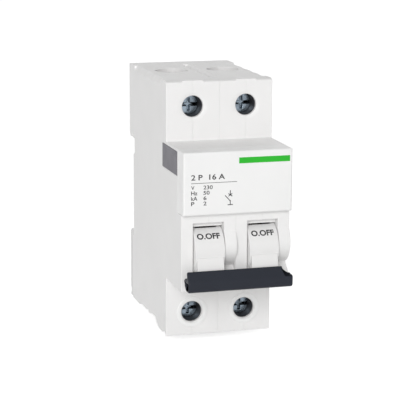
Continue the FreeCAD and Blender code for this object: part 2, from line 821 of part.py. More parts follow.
def make_contact_carrier(x, prefix):
    """The strip that holds the fixed contact and leads the arc over the plates."""
    face = contact_blade + 2 * pad_thickness + touch_gap
    under = arc_top + 0.8
    strip = prism([in_closed_frame(carrier_reach, face), in_closed_frame(contact_reach + 1, face),
                   (arc_back - arc_length + 0.4, under), (arc_back, under),
                   (arc_back, under + 1.0), (arc_back - arc_length + 0.6, under + 1.0),
                   in_closed_frame(contact_reach - 0.2, face + 1.5), carrier_start()],
                  x - inner_half + 0.3, x + inner_half - 0.3)
    y, z = carrier_start()
    tab = box(x + coil_mean_radius - 1.0, x + coil_mean_radius + 1.0, lead_y() - 1.0, y + 0.9,
              z - 1.0, contact_tab_top())
    save(prefix + "_contact_carrier", fused(strip, tab))


def make_arc_plates(x, prefix):
    half = inner_half - fibre_thickness - 2 * touch_gap - 0.1
    mouth = arc_back - arc_length
    plates = []
    for i in range(plate_count):
        z = arc_top - arc_plate_thickness - i * plate_pitch
        plate = box(x - half, x + half, mouth, arc_back, z, z + arc_plate_thickness)
        corners = [V(x - 3.2, mouth - 1, z - 1), V(x + 3.2, mouth - 1, z - 1),
                   V(x + 0.6, mouth + arc_notch, z - 1), V(x - 0.6, mouth + arc_notch, z - 1)]
        notch = Part.Face(Part.makePolygon(corners + corners[:1])).extrude(V(0, 0, 3))
        plates.append(plate.cut(notch))
    save(prefix + "_arc_plates", *plates)


def make_arc_sides():
    sides = []
    low = arc_top - (plate_count - 1) * plate_pitch - arc_plate_thickness
    for x in poles.values():
        for side in (-1, 1):
            outer = x + side * (inner_half - touch_gap)
            inner = outer - side * fibre_thickness
            sides.append(box(min(inner, outer), max(inner, outer), arc_back - arc_length, arc_back,
                             low, arc_top))
    save("arc_side_plates", *sides)


def make_arc_runners():
    """The lower strips that lead the arc back under the plates, each with a foot on the web."""
    floor, over = runner_floor, runner_floor + runner_thickness
    foot = load_z + web_reach + touch_gap
    back = head_back + runner_inset
    edge = back - runner_foot
    runners = []
    for x in poles.values():
        runners.append(prism([(arc_back, over), (arc_back, floor), (back, floor), (back, foot),
                              (edge, foot), (edge, floor),
                              (edge - 2 * runner_thickness, floor + runner_rise),
                              (edge - runner_foot, over + runner_rise),
                              (back - runner_thickness / 2, over)],
                             x - runner_half_width, x + runner_half_width))
    save("arc_runners", *runners)


def make_bimetal(x, prefix):
    left = x + bimetal_left()
    low = load_z + web_reach
    strip = box(left, left + bimetal_width, bimetal_y - bimetal_thickness / 2,
                bimetal_y + bimetal_thickness / 2, low + touch_gap, low + bimetal_height)
    save(prefix + "_bimetal", strip)


def make_braid(x, prefix):
    """The flexible lead from the bimetal to the side of the contact arm's hub."""
    middle = x + bimetal_left() + bimetal_width / 2
    start_y = bimetal_y + bimetal_thickness / 2 + touch_gap
    hub_side = x + 2.5 + small_gap
    end = (contact_pivot[0] - 0.4, contact_pivot[1] - 2.2)
    points = [V(middle, start_y, -10.5), V(middle, start_y + 2.6, -10.5),
              V(middle, end[0], end[1]), V(hub_side, end[0], end[1])]
    edges = rounded_path(points, 0.9)
    save(prefix + "_flex_braid", wire_tube(edges, points[0], V(0, 1, 0), braid_radius))


def trip_arm_top():
    return trip_pivot[1] - 1.7


def make_trip_lever(x, prefix):
    """A two-armed lever: the rear arm under the plunger pin, the front arm by the bimetal."""
    y, z = trip_pivot
    plunger_end = coil_y + 1.6
    hub = rod(x - 2.0, x + bimetal_left() + bimetal_width, trip_pivot, trip_hub)
    rear = prism([(y, z - 1.4), (y + 7.0, z - 2.8), (plunger_end, trip_arm_top() - 2.1),
                  (plunger_end, trip_arm_top()), (coil_y - 2.0, trip_arm_top()),
                  (y + 6.5, z - 0.6), (y, z + 1.4)], x - 2.0, x + 2.0)
    tip = bimetal_y + bimetal_thickness / 2 + 0.4
    left = x + bimetal_left()
    arm = prism([(y, z + 2.0), (tip + 0.4, z + 5.6), (tip, z + 5.4), (tip, z + 3.0),
                 (tip + 0.8, z + 2.8), (y, z - 1.4)], left - 0.2, left + bimetal_width)
    holes = [rod(x - 9, x + 9, trip_pivot, trip_pivot_radius + pin_play),
             rod(x - 9, x + 9, trip_bar_centre(), trip_bar_radius)]
    save(prefix + "_trip_lever", drilled(fused(hub, rear, arm), *holes))


def make_trip_bar():
    start = poles["left"] + bimetal_left()
    end = poles["right"] + bimetal_left() + bimetal_width
    save("trip_bar", rod(start, end, trip_bar_centre(), trip_bar_radius))


def sector(x0, x1, centre, inner, outer, first, last):
    """Part of a round shell about X, between two angles of under a full turn."""
    ring = rod(x0, x1, centre, outer).cut(rod(x0 - 1, x1 + 1, centre, inner))
    fan = [centre]
    count = 6
    for i in range(count + 1):
        fan.append(polar(centre, outer * 1.6, first + (last - first) * i / count))
    return ring.common(prism(fan, x0 - 1, x1 + 1))


def paddle(x0, x1):
    """The stub that runs from the barrel into the tie bar."""
    y, z = toggle_centre
    return prism([(y - 5.0, z - 1.2), (y - 8.1, z - 1.2), (y - 9.1, z - 6.2), (y - 9.3, z - 9.2),
                  (y - 8.4, z - 9.6), (y - 7.4, z - 9.2), (y - 4.8, z - 6.6), (y - 3.0, z - 4.0)],
                 x0, x1)


def make_toggle(x, prefix):
    """Two round cheeks, a curved front shell between them and the stub for the tie bar."""
    outer = toggle_half_width
    inner = outer - toggle_cheek
    cheeks = [rod(x - outer, x - inner, toggle_centre, toggle_radius),
              rod(x + inner, x + outer, toggle_centre, toggle_radius)]
    shell = sector(x - inner, x + inner, toggle_centre, toggle_radius - toggle_shell,
                   toggle_radius, shell_start, shell_end)
    stub = paddle(x - outer + paddle_inset, x + outer - paddle_inset)
    whole = cheeks[0].fuse([cheeks[1], shell, stub]).removeSplitter()
    core = rod(x - inner, x + inner, toggle_centre, toggle_radius - toggle_shell)
    holes = [rod(x - 9, x + 9, toggle_centre, shaft_radius + pin_play),
             rod(x - 9, x + 9, crank_pin, link_pin_radius), core]
    save(prefix + "_toggle", drilled(whole, *holes))


def make_link(x, prefix):
    """The link. Its far eye is a window, which takes up what both pins stray over the throw."""
    x0, x1 = x - link_half_width, x + link_half_width
    y, z = crank_pin
    far = y + link_length
    bar = box(x0, x1, y, far, z - link_half_height, z + link_half_height)
    eye = rod(x0, x1, crank_pin, link_eye)
    along = [drift[0] for drift in pin_drift()]
    aside = [drift[1] for drift in pin_drift()]
    reach = link_pin_radius + 0.12
    y0, y1 = far + min(along) - reach, far + max(along) + reach
    z0, z1 = z + min(aside) - reach, z + max(aside) + reach
    pad = box(x0, x1, y0 - 0.6, y1 + 0.6, z0 - 0.6, z1 + 0.6)
    slot = box(x0 - 1, x1 + 1, y0, y1, z0, z1)
    eye_hole = rod(x0 - 1, x1 + 1, crank_pin, link_pin_radius + pin_play)
    level = drilled(fused(bar, eye, pad), slot, eye_hole)
    save(prefix + "_toggle_link", turned(level, crank_pin, link_slope))


def bar_section():
    """The tie bar's side outline at rest: a hollow body, and a blade in front of the stubs."""
    y, z = toggle_centre
    outline = [(-9.3, -5.0), (-10.0, -4.9), (-12.2, -8.1), (-12.1, -10.7), (-11.5, -11.4),
               (-8.6, -11.4), (-7.2, -10.2), (-6.4, -7.7), (-9.9, -7.6)]
    return [(y + back, z + rise) for back, rise in outline]


def make_handle_bar():
    """The tie bar. Its blade stops short of the right end, which leaves a low tab there."""
    whole = prism(bar_section(), -bar_half_length, bar_half_length)
    y, z = toggle_centre
    step = [V(blade_end, nose - 9, z), V(blade_end, nose - 9, z - 5.0),
            V(blade_end + blade_end_slant, nose - 9, z - blade_foot),
            V(bar_half_length + 1, nose - 9, z - blade_foot), V(bar_half_length + 1, nose - 9, z)]
    end = Part.Face(Part.makePolygon(step + step[:1])).extrude(V(0, 12, 0))
    core = prism([(y - 12.2 + bar_wall, z - 7.6 - bar_wall), (y - 12.2 + bar_wall, z - 11.4 + bar_wall),
                  (y - 8.8, z - 11.4 + bar_wall), (y - 6.4 - bar_wall, z - 7.6 - bar_wall)],
                 -bar_half_length - 1, bar_half_length + 1)
    pockets = []
    for x in poles.values():
        half = toggle_half_width - paddle_inset + touch_gap
        pockets.append(paddle(x - half, x + half))
    save("handle_bar", whole.cut([end, core] + pockets).removeSplitter())


def make_shafts_and_pins():
    reach = 2 * half_pole - outer_skin - 0.1
    save("toggle_shaft", rod(-reach, reach, toggle_centre, shaft_radius))
    pins = []
    link_pins = []
    for x in poles.values():
        half = half_pole - outer_skin - 0.1
        pins.append(rod(x - half, x + half, contact_pivot, contact_pivot_radius))
        pins.append(rod(x - half, x + half, trip_pivot, trip_pivot_radius))
        half = toggle_half_width - 0.2
        link_pins.append(rod(x - half, x + half, crank_pin, link_pin_radius))
    save("pivot_pins", *pins)
    save("link_pins", *link_pins)
    save("case_rivets", *[rod(-reach, reach, place, rivet_radius) for place in rivet_places])


def make_toggle_springs():
    """The torsion springs on the shaft that throw the handles back to off."""
    springs = []
    wire, mean = 0.25, 1.75
    for x in poles.values():
        edges, (start, heading), (end, _) = winding(V(0, 0, 0), mean, 1.5, 5, 0)
        leg = end + V(0, -9.0, 0)
        edges.append(Part.LineSegment(end, leg).toShape())
        coiled = wire_tube(edges, start, heading, wire)
        coiled.rotate(V(0, 0, 0), V(0, 1, 0), 90)
        coiled.rotate(V(0, 0, 0), V(1, 0, 0), 170)
        coiled.translate(V(x + 1.4, toggle_centre[0], toggle_centre[1]))
        springs.append(coiled)
    save("toggle_springs", *springs)


def make_rail_clip(x, prefix):
    """The plate that slides down the back. Its lip hooks the lower edge of the rail."""
    half = half_pole - clip_side_gap
    lip_top = lower_lip
    body = prism([(rail_gap, lip_top), (back_depth - hook_round, lip_top),
                  (back_depth, lip_top - hook_round), (back_depth, clip_bottom),
                  (rail_gap, clip_bottom)], x - half, x + half)
    cuts = []
    z_low = clip_bottom + 7.1 - small_gap
    z_high = z_low + button_height + 2 * small_gap + clip_travel
    for side in (-1, 1):
        centre = x + side * button_offset
        neck = button_half + small_gap
        head = button_head_half + small_gap
        under = clip_bed + button_height - button_head_thickness - small_gap
        cuts.append(box(centre - neck, centre + neck, rail_gap - 1, back_depth + 1, z_low, z_high))
        cuts.append(box(centre - head, centre + head, under, back_depth + 1, z_low, z_high))
    cuts.append(box(x - clip_pocket_half, x + clip_pocket_half, rail_gap - 1,
                    rail_gap + clip_pocket_depth, clip_bottom - 1, spring_top()))
    cuts.append(box(x - half - 1, x + half + 1, back_depth - 0.7, back_depth + 1,
                    clip_bottom + 1.2, clip_bottom + 1.2 + pull_groove))
    save(prefix + "_rail_clip", drilled(body, *cuts))
    centre_y = rail_gap + clip_pocket_depth / 2
    coiled = spring(V(x, centre_y, clip_bottom + 2.6 + touch_gap), clip_spring_radius,
                    clip_spring_wire, clip_spring_length, 2 * clip_spring_turns)
    save(prefix + "_clip_spring", coiled)


def spring_top():
    return clip_bottom + 2.6 + clip_spring_length + 2 * touch_gap


make_case()
make_front_cover()
make_handle_bar()
make_shafts_and_pins()
make_toggle_springs()
make_cores()
make_fixed_contacts()
make_arc_sides()
make_arc_runners()
make_trip_bar()
for pole_name, pole_x in poles.items():
    make_terminals(pole_x, pole_name)
    make_magnet(pole_x, pole_name)
    make_contact_arm(pole_x, pole_name)
    make_contact_carrier(pole_x, pole_name)
    make_arc_plates(pole_x, pole_name)
    make_bimetal(pole_x, pole_name)
    make_braid(pole_x, pole_name)
    make_trip_lever(pole_x, pole_name)
    make_toggle(pole_x, pole_name)
    make_link(pole_x, pole_name)
    make_rail_clip(pole_x, pole_name)
print("crank pin", crank_pin, "link turn", handle_throw + link_slope_on - link_slope)
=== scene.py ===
# %% [markdown]
# # A two-pole circuit breaker
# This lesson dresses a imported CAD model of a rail-mounted circuit breaker. The CAD solids already
# have the right sizes, so the work here is what the eye sees: rounded edges, moulded plastic, plated
# screws and printed marks. The record's joints tell where the two poles, the toggles and the screws
# have their middles.

# %% Load the frame
import json
import math

import bpy
from mathutils import Matrix, Vector


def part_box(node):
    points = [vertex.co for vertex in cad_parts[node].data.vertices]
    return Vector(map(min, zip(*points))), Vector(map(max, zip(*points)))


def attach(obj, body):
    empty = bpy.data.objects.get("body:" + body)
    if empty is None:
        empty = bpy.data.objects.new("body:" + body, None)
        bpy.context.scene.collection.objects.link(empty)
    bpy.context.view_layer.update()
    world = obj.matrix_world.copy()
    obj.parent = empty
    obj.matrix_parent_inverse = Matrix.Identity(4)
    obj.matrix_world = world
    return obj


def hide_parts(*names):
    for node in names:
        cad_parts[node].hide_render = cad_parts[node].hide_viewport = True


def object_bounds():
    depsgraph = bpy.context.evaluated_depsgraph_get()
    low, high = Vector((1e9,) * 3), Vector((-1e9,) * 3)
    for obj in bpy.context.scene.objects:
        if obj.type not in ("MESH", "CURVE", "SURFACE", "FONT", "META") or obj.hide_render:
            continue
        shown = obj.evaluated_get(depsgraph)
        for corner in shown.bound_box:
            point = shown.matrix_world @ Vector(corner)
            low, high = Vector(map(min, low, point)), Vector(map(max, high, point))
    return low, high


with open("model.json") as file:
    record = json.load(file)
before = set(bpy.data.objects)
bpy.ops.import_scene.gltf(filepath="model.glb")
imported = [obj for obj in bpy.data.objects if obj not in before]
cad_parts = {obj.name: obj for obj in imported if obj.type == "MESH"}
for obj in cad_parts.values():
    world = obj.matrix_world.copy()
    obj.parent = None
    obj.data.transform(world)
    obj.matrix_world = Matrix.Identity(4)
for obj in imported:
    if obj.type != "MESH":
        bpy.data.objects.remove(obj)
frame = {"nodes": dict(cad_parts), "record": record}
cad_box = [list(corner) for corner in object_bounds()]
MM = 0.001
BEHAVIOUR = frame["record"]["behaviour"]
JOINT_PLACE = {joint["name"]: joint["pos_m"] for joint in BEHAVIOUR["joints"] if "pos_m" in joint}
POLE_X = {pole: JOINT_PLACE[pole + "_contact_turn"][0] for pole in ("left", "right")}
print("middle of each pole in mm", {pole: round(x / MM, 2) for pole, x in POLE_X.items()})

# %% [markdown]
# ## Camera
# The picture was taken from the left and a little above, from about half a metre, with a long lens.
# The place and the turn come from fitting the object's known corners to the picture, so they are
# written as plain numbers.

# %% Camera at the photograph's place
YAW, PITCH, ROLL = math.radians(-16.32), math.radians(12.0), math.radians(0.32)
CAMERA_PLACE = (-0.14707, -0.52420, 0.10943)
PICTURE_WIDTH_PX, FOCAL_LENGTH_PX, SENSOR_MM = 400, 1564.7, 36
LENS_MM = SENSOR_MM * FOCAL_LENGTH_PX / PICTURE_WIDTH_PX

back = Vector((math.sin(YAW) * math.cos(PITCH), -math.cos(YAW) * math.cos(PITCH), math.sin(PITCH)))
right = Vector((0, 0, 1)).cross(back).normalized()
up = back.cross(right)
turned_right = right * math.cos(ROLL) + up * math.sin(ROLL)
turned_up = up * math.cos(ROLL) - right * math.sin(ROLL)

camera_data = bpy.data.cameras.new("camera")
camera_data.lens = LENS_MM
camera_data.clip_start = 0.01
camera_data.clip_end = 20
camera = bpy.data.objects.new("camera", camera_data)
bpy.context.scene.collection.objects.link(camera)
camera_turn = Matrix((turned_right, turned_up, back)).transposed().to_4x4()
camera.matrix_world = Matrix.Translation(CAMERA_PLACE) @ camera_turn
bpy.context.scene.camera = camera
print("camera at", [round(v, 4) for v in camera.location])

# %% [markdown]
# ## Light and floor
# The picture is a plain studio shot: even white all round, with one wide lamp in front and to the
# left, so the front is the brightest side, the left side a little darker and the top darker still.
# The floor is plain and pale. What the camera sees of the floor and the world is lifted to white, and
# the light on the object stays at a plain level.

# %% World, lamps and floor
scene = bpy.context.scene
scene.view_settings.view_transform = "Standard"
WORLD_LIGHT = 0.46
FLOOR_SIZE, FLOOR_GAP = 8, 3 * MM
PAPER_SHADE, PAPER_LIFT = 0.9, 0.6


def seen_by_eye(nodes, links):
    """1 for rays that show a surface to the camera, straight, in a mirror or through glass."""
    path = nodes.new("ShaderNodeLightPath")
    seen = path.outputs["Is Camera Ray"]
    for ray in ("Is Glossy Ray", "Is Transmission Ray"):
        most = nodes.new("ShaderNodeMath")
        most.operation = "MAXIMUM"
        links.new(seen, most.inputs[0])
        links.new(path.outputs[ray], most.inputs[1])
        seen = most.outputs[0]
    return seen


world = bpy.data.worlds.new("studio")
scene.world = world
world.use_nodes = True
nodes, links = world.node_tree.nodes, world.node_tree.links
nodes.clear()
lit = nodes.new("ShaderNodeBackground")
lit.inputs["Color"].default_value = (1, 1, 1, 1)
lit.inputs["Strength"].default_value = WORLD_LIGHT
shown = nodes.new("ShaderNodeBackground")
shown.inputs["Color"].default_value = (1, 1, 1, 1)
shown.inputs["Strength"].default_value = 1.0
eye = seen_by_eye(nodes, links)
choose = nodes.new("ShaderNodeMixShader")
out = nodes.new("ShaderNodeOutputWorld")
links.new(eye, choose.inputs["Fac"])
links.new(lit.outputs[0], choose.inputs[1])
links.new(shown.outputs[0], choose.inputs[2])
links.new(choose.outputs[0], out.inputs["Surface"])


def soft_lamp(name, place, size, watts):
    """A wide square lamp that looks at the middle of the object."""
    data = bpy.data.lights.new(name, "AREA")
    data.shape = "SQUARE"
    data.size = size
    data.energy = watts
    lamp = bpy.data.objects.new(name, data)
    scene.collection.objects.link(lamp)
    lamp.location = place
    lamp.rotation_mode = "QUATERNION"
    lamp.rotation_quaternion = (-Vector(place)).to_track_quat("-Z", "Y")


soft_lamp("front_lamp", (-0.5, -1.02, 0.4), 0.5, 7.6)
soft_lamp("back_lamp", (0.9, 0.9, 0.2), 0.8, 2.0)

FLOOR_Z = cad_box[0][2] - FLOOR_GAP
bpy.ops.mesh.primitive_plane_add(size=FLOOR_SIZE, location=(0, 0, FLOOR_Z))
floor = bpy.context.object
floor.name = "floor"
paper = bpy.data.materials.new("paper")
paper.use_nodes = True
nodes, links = paper.node_tree.nodes, paper.node_tree.links
nodes.clear()
matt = nodes.new("ShaderNodeBsdfDiffuse")
matt.inputs["Color"].default_value = (PAPER_SHADE, PAPER_SHADE, PAPER_SHADE, 1)
lift = nodes.new("ShaderNodeEmission")
eye = seen_by_eye(nodes, links)
strength = nodes.new("ShaderNodeMath")
strength.operation = "MULTIPLY"
strength.inputs[1].default_value = PAPER_LIFT
links.new(eye, strength.inputs[0])
links.new(strength.outputs[0], lift.inputs["Strength"])
both = nodes.new("ShaderNodeAddShader")
out = nodes.new("ShaderNodeOutputMaterial")
links.new(matt.outputs[0], both.inputs[0])
links.new(lift.outputs[0], both.inputs[1])
links.new(both.outputs[0], out.inputs["Surface"])
floor.data.materials.append(paper)
print("floor at", round(FLOOR_Z / MM, 2), "mm")

# %% [markdown]
# ## Shared surface effects
# Two effects turn up on many of the pieces. Moulded plastic copies the fine spark-eroded grain of its
# steel mould, and is a touch uneven in shade. Rolled and drawn metal has thin streaks along one
# direction. Both get faint smudges where the gloss changes. Each is a node group, so every finish can
# set its own amounts. A scale is about how many spots fit in a metre.

# %% The effect groups
FINE_GRAIN, COARSE_GRAIN = 4200.0, 2200.0
ALONG_THE_STREAK, ACROSS_THE_STREAK = 90.0, 2600.0
PLASTIC_CLOUDS, PLASTIC_SMUDGES = 55.0, 130.0
METAL_CLOUDS, METAL_SMUDGES = 240.0, 520.0


def new_group(name, inputs, outputs):
    """An empty node group with its inputs (name, value), its outputs (name), and its two end nodes."""
    group = bpy.data.node_groups.new(name, "ShaderNodeTree")
    for socket, value in inputs:
        made = group.interface.new_socket(name=socket, in_out="INPUT", socket_type="NodeSocketFloat")
        made.default_value = value
    for socket in outputs:
        group.interface.new_socket(name=socket, in_out="OUTPUT", socket_type="NodeSocketFloat")
    start = group.nodes.new("NodeGroupInput")
    end = group.nodes.new("NodeGroupOutput")
    return group, start, end


def noise(tree, vector, scale, detail, rough=0.55):
    """Soft noise over a place. The scale is a number or a socket."""
    made = tree.nodes.new("ShaderNodeTexNoise")
    made.inputs["Detail"].default_value = detail
    made.inputs["Roughness"].default_value = rough
    tree.links.new(vector, made.inputs["Vector"])
    if isinstance(scale, (int, float)):
        made.inputs["Scale"].default_value = scale
    else:
        tree.links.new(scale, made.inputs["Scale"])
    return made.outputs["Fac"]


def maths(tree, kind, a, b):
    """One sum of two sockets."""
    made = tree.nodes.new("ShaderNodeMath")
    made.operation = kind
    tree.links.new(a, made.inputs[0])
    tree.links.new(b, made.inputs[1])
    return made.outputs[0]


def make_moulded_grain():
    """Fine even grain for the bump, with a slow cloudiness for the shade and the gloss."""
    group, start, end = new_group("moulded_grain", [("Grain Size", FINE_GRAIN), ("Pits", 0.3)],
                                  ["Height", "Shade", "Smudge"])
    place = group.nodes.new("ShaderNodeTexCoord").outputs["Object"]
    fine = noise(group, place, start.outputs["Grain Size"], 3)
    cells = group.nodes.new("ShaderNodeTexVoronoi")
    group.links.new(place, cells.inputs["Vector"])
    group.links.new(start.outputs["Grain Size"], cells.inputs["Scale"])
    pits = maths(group, "MULTIPLY", cells.outputs["Distance"], start.outputs["Pits"])
    group.links.new(maths(group, "ADD", fine, pits), end.inputs["Height"])
    group.links.new(noise(group, place, PLASTIC_CLOUDS, 4), end.inputs["Shade"])
    group.links.new(noise(group, place, PLASTIC_SMUDGES, 5, 0.65), end.inputs["Smudge"])
    return group


def make_drawn_streaks():
    """Thin streaks along one axis, set by how much each axis is stretched."""
    axes = [("Along X", ALONG_THE_STREAK), ("Along Y", ALONG_THE_STREAK), ("Along Z", ACROSS_THE_STREAK)]
    group, start, end = new_group("drawn_streaks", axes, ["Height", "Shade", "Smudge"])
    place = group.nodes.new("ShaderNodeTexCoord").outputs["Object"]
    stretch = group.nodes.new("ShaderNodeCombineXYZ")
    for axis, socket in zip("XYZ", ("Along X", "Along Y", "Along Z")):
        group.links.new(start.outputs[socket], stretch.inputs[axis])
    stretched = group.nodes.new("ShaderNodeVectorMath")
    stretched.operation = "MULTIPLY"
    group.links.new(place, stretched.inputs[0])
    group.links.new(stretch.outputs[0], stretched.inputs[1])
    group.links.new(noise(group, stretched.outputs[0], 1.0, 4, 0.6), end.inputs["Height"])
    group.links.new(noise(group, place, METAL_CLOUDS, 5, 0.6), end.inputs["Shade"])
    group.links.new(noise(group, place, METAL_SMUDGES, 4, 0.6), end.inputs["Smudge"])
    return group


GRAIN = make_moulded_grain()
STREAKS = make_drawn_streaks()
print("effect groups", GRAIN.name, STREAKS.name)

# %% [markdown]
# ## Finishes
# Every finish is one Principled shader. Its colour wanders a little between a darker and a lighter
# tone of itself, its gloss follows the smudges, and its bump follows the grain or the streaks.
# Plastic finishes differ in colour and in how coarse their mould was. Metal finishes differ in
# colour, gloss and the direction in which they were rolled. The two inks have the plastic's grain
# under them and are a little uneven. The tie bar's plastic reflects less than the rest, because the
# picture shows it nearly black on both of its faces.

# %% Finish makers
BUMP_DEPTH = 0.04 * MM
DARK_FROM, LIGHT_FROM = 0.3, 0.7


def mixed(tree, driver, a, b):
    """A value or a colour between a and b, as the effect goes from its dark to its light spots."""
    made = tree.nodes.new("ShaderNodeMapRange")
    made.inputs["From Min"].default_value = DARK_FROM
    made.inputs["From Max"].default_value = LIGHT_FROM
    tree.links.new(driver, made.inputs["Value"])
    if isinstance(a, (int, float)):
        made.inputs["To Min"].default_value = a
        made.inputs["To Max"].default_value = b
        return made.outputs["Result"]
    blend = tree.nodes.new("ShaderNodeMix")
    blend.data_type = "RGBA"
    blend.inputs["A"].default_value = (*a, 1)
    blend.inputs["B"].default_value = (*b, 1)
    tree.links.new(made.outputs["Result"], blend.inputs["Factor"])
    return blend.outputs["Result"]


def finish(name, group, settings, colour, spread, gloss, bump, metallic=0.0, ior=1.5):
    """A finish from one effect group. gloss is the roughness from the smooth to the dull patches."""
    material = bpy.data.materials.new(name)
    material.use_nodes = True
    tree = material.node_tree
    shader = tree.nodes["Principled BSDF"]
    effect = tree.nodes.new("ShaderNodeGroup")
    effect.node_tree = group
    for socket, value in settings.items():
        effect.inputs[socket].default_value = value
    dark = [c * (1 - spread) for c in colour]
    light = [min(1, c * (1 + spread)) for c in colour]
    shade = mixed(tree, effect.outputs["Shade"], dark, light)
    roughness = mixed(tree, effect.outputs["Smudge"], *gloss)
    tree.links.new(shade, shader.inputs["Base Color"])
    tree.links.new(roughness, shader.inputs["Roughness"])
    bumps = tree.nodes.new("ShaderNodeBump")
    bumps.inputs["Strength"].default_value = bump
    bumps.inputs["Distance"].default_value = BUMP_DEPTH
    tree.links.new(effect.outputs["Height"], bumps.inputs["Height"])
    tree.links.new(bumps.outputs[0], shader.inputs["Normal"])
    shader.inputs["Metallic"].default_value = metallic
    shader.inputs["IOR"].default_value = ior
    return material


def plastic(name, colour, gloss=(0.38, 0.5), grain=FINE_GRAIN, bump=0.35, spread=0.012, ior=1.5):
    """A moulded finish."""
    return finish(name, GRAIN, {"Grain Size": grain}, colour, spread, gloss, bump, ior=ior)


def metal(name, colour, gloss, along, bump=0.3, spread=0.06):
    """A rolled or drawn finish, with its streaks along one axis."""
    streaks = {"Along " + axis: ACROSS_THE_STREAK for axis in "XYZ"}
    streaks["Along " + along] = ALONG_THE_STREAK
    return finish(name, STREAKS, streaks, colour, spread, gloss, bump, metallic=1.0)


FINISHES = {
    "shell": plastic("shell_plastic", (0.83, 0.825, 0.82)),
    "cover": plastic("cover_plastic", (0.85, 0.85, 0.845), gloss=(0.33, 0.45)),
    "side_plate_plastic": plastic("side_plate_plastic", (0.115, 0.11, 0.13), gloss=(0.4, 0.55)),
    "toggle_plastic": plastic("toggle_plastic", (0.80, 0.795, 0.79), gloss=(0.3, 0.42)),
    "bar_plastic": plastic("bar_plastic", (0.019, 0.022, 0.031), gloss=(0.4, 0.55), bump=0.25, spread=0.08,
                           ior=1.28),
    "clip_plastic": plastic("clip_plastic", (0.74, 0.74, 0.735), gloss=(0.4, 0.55), spread=0.02),
    # inner_plastic also colours the dark tubes in the screw holes, which are painted shade.
    "inner_plastic": plastic("inner_plastic", (0.035, 0.035, 0.04), gloss=(0.45, 0.6), spread=0.05),
    "bobbin": plastic("bobbin_plastic", (0.5, 0.43, 0.3), gloss=(0.4, 0.55), spread=0.04),
    "fibre": plastic("pressed_fibre", (0.26, 0.07, 0.035), gloss=(0.6, 0.8), grain=COARSE_GRAIN, bump=0.6,
                     spread=0.1),
    "screw_steel": metal("screw_steel", (0.2, 0.24, 0.28), (0.12, 0.32), along="Y", spread=0.45),
    "plated_steel": metal("plated_steel", (0.62, 0.63, 0.65), (0.22, 0.38), along="Y"),
    "spring_steel": metal("spring_steel", (0.45, 0.45, 0.47), (0.2, 0.35), along="X"),
    "soft_iron": metal("soft_iron", (0.36, 0.36, 0.37), (0.3, 0.5), along="Z"),
    "arc_steel": metal("arc_steel", (0.55, 0.52, 0.5), (0.3, 0.45), along="Y"),
    "bimetal": metal("bimetal_strip", (0.6, 0.54, 0.46), (0.22, 0.36), along="Z"),
    "copper": metal("pressed_copper", (0.83, 0.43, 0.28), (0.22, 0.4), along="Y"),
    "copper_wire": metal("copper_wire", (0.7, 0.3, 0.17), (0.25, 0.4), along="X"),
    "silver": metal("contact_silver", (0.86, 0.86, 0.83), (0.3, 0.45), along="X")}
INKS = {
    "dark_ink": plastic("dark_ink", (0.012, 0.012, 0.014), gloss=(0.4, 0.55), bump=0.15, spread=0.15),
    "green_ink": plastic("green_ink", (0.006, 0.42, 0.008), gloss=(0.4, 0.5), bump=0.15, spread=0.04)}
print("finishes", len(FINISHES), "inks", len(INKS))

# %% [markdown]
# ## Finishes on the CAD nodes
# Most inner pieces are already the right shape, so they stay as they are and only get their finish.
# The record says which material slot each node belongs to, and that name picks the finish here.

# %% Give every CAD node its finish
SLOT_OF = {part["node"]: part["material_slot"] for part in frame["record"]["subparts"]}

for node_name, node in frame["nodes"].items():
    node.data.materials.clear()
    node.data.materials.append(FINISHES[SLOT_OF[node_name]])
print("finished nodes", len(SLOT_OF))

# %% [markdown]
# ## Helpers for shaping
# A copy of a CAD node is loose triangles, so it is merged, and its flat triangles are dissolved into
# whole faces. Then a bevel can round just its real edges.

# %% Selecting, copying and rounding
MERGE_WITHIN = 0.002 * MM
FLAT_WITHIN = math.radians(0.6)
SMOOTH_UNDER = math.radians(50)
SHARP_OVER, SHARP_OVER_ON_SCREWS = math.radians(25), math.radians(40)


def clear_selection():
    """Nothing selected, before something new is added."""
    bpy.ops.object.select_all(action="DESELECT")


def only(piece):
    """Nothing selected but this piece."""
    clear_selection()
    piece.select_set(True)
    bpy.context.view_layer.objects.active = piece


def edit_all(piece):
    """Edit mode, with the whole piece selected."""
    only(piece)
    bpy.ops.object.mode_set(mode="EDIT")
    bpy.ops.mesh.select_all(action="SELECT")


def done():
    """Back to object mode."""
    bpy.ops.object.mode_set(mode="OBJECT")


def apply_modifiers(piece):
    """Makes the modifiers part of the mesh."""
    only(piece)
    for modifier in list(piece.modifiers):
        bpy.ops.object.modifier_apply(modifier=modifier.name)


def settle(piece, name, slot, body):
    """Name, finish and body, with the piece's place moved into its mesh. An ink has no slot."""
    only(piece)
    bpy.ops.object.transform_apply(location=True, rotation=True, scale=True)
    piece.name = name
    piece.data.name = name
    piece.data.materials.clear()
    piece.data.materials.append(FINISHES[slot] if slot in FINISHES else INKS[slot])
    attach(piece, body)


def clean_copy(node_name):
    """A merged copy of a CAD node, with its flat triangles dissolved."""
    source = frame["nodes"][node_name]
    copy = bpy.data.objects.new(node_name + "_copy", source.data.copy())
    scene.collection.objects.link(copy)
    edit_all(copy)
    bpy.ops.mesh.remove_doubles(threshold=MERGE_WITHIN)
    bpy.ops.mesh.dissolve_limited(angle_limit=FLAT_WITHIN)
    done()
    return copy


def smooth_flats(piece):
    """Smooth shading over the rounds, while large flat faces keep their own direction."""
    only(piece)
    bpy.ops.object.shade_smooth_by_angle(angle=SMOOTH_UNDER)
    weighted = piece.modifiers.new("flats", "WEIGHTED_NORMAL")
    weighted.keep_sharp = True
    apply_modifiers(piece)


def even(a, b):
    """The whole width on every edge."""
    return 1.0


